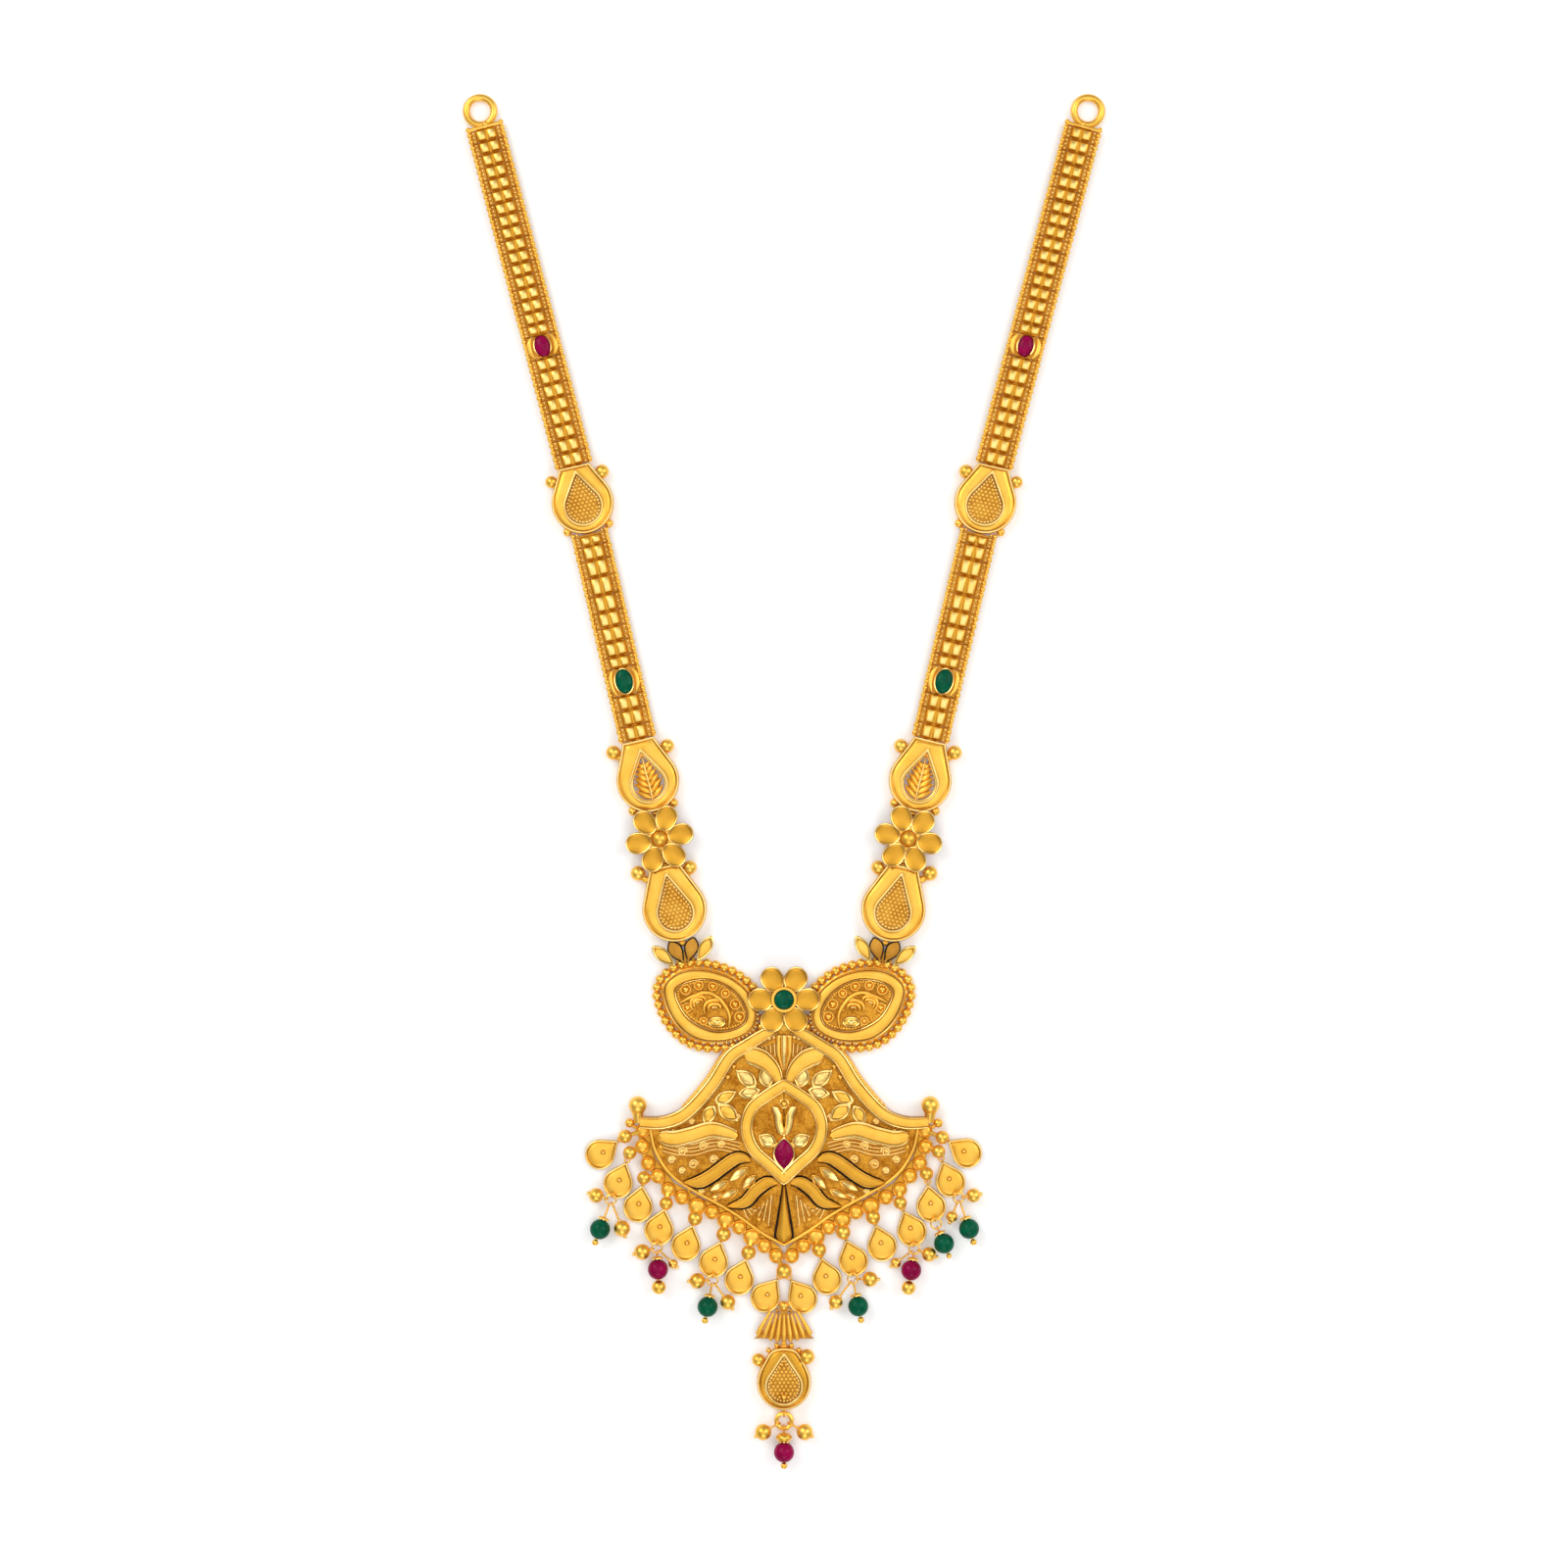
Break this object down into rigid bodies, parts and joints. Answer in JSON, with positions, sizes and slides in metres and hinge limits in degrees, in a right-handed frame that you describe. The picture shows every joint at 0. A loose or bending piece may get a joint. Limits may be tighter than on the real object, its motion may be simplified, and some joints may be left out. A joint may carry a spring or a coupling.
{
  "type": "necklace",
  "caption": "Long festive gold necklace laid flat: hinged straps with end rings, drop and flower stations, and a large pendant with a disc fringe and hanging beads.",
  "frame": {"origin": "middle of the laid-out necklace's box, on the surface that it lies on", "axes": "+X to the wearer's left, which is the picture's right, +Y up along the necklace towards the end rings, +Z out of the surface towards the camera"},
  "size_m": [0.1178, 0.2521, 0.004],
  "materials": {
    "gold": "satin yellow gold",
    "ruby": "polished dark red",
    "emerald": "polished dark green"
  },
  "bodies": {
    "root": {"eyelet_left": "gold", "eyelet_right": "gold", "strap_upper_left": "gold", "strap_upper_right": "gold", "strap_lower_left": "gold", "strap_lower_right": "gold", "ruby_setting_left": "gold", "ruby_setting_right": "gold", "ruby_oval_left": "ruby", "ruby_oval_right": "ruby", "emerald_setting_left": "gold", "emerald_setting_right": "gold", "emerald_oval_left": "emerald", "emerald_oval_right": "emerald", "drop_station_upper_left": "gold", "drop_station_upper_right": "gold", "leaf_station_left": "gold", "leaf_station_right": "gold", "flower_station_left": "gold", "flower_station_right": "gold", "drop_station_lower_left": "gold", "drop_station_lower_right": "gold", "bud_link_left": "gold", "bud_link_right": "gold", "wing_left": "gold", "wing_right": "gold", "centre_flower": "gold", "emerald_round": "emerald", "pendant_body": "gold", "ruby_marquise": "ruby", "cup_row_left": "gold", "cup_row_right": "gold", "discs_left": "gold", "discs_right": "gold", "cluster_left_outer": "gold", "cluster_left_middle": "gold", "cluster_left_inner": "gold", "cluster_right_inner": "gold", "cluster_right_middle": "gold", "cluster_right_hidden": "gold", "cluster_right_outer": "gold", "bead_left_outer": "emerald", "bead_left_middle": "ruby", "bead_left_inner": "emerald", "bead_right_inner": "emerald", "bead_right_middle": "ruby", "bead_right_hidden": "emerald", "bead_right_outer": "emerald", "fan_link": "gold", "lower_drop": "gold", "lower_cluster": "gold", "ruby_bead": "ruby"}
  },
  "joints": []
}
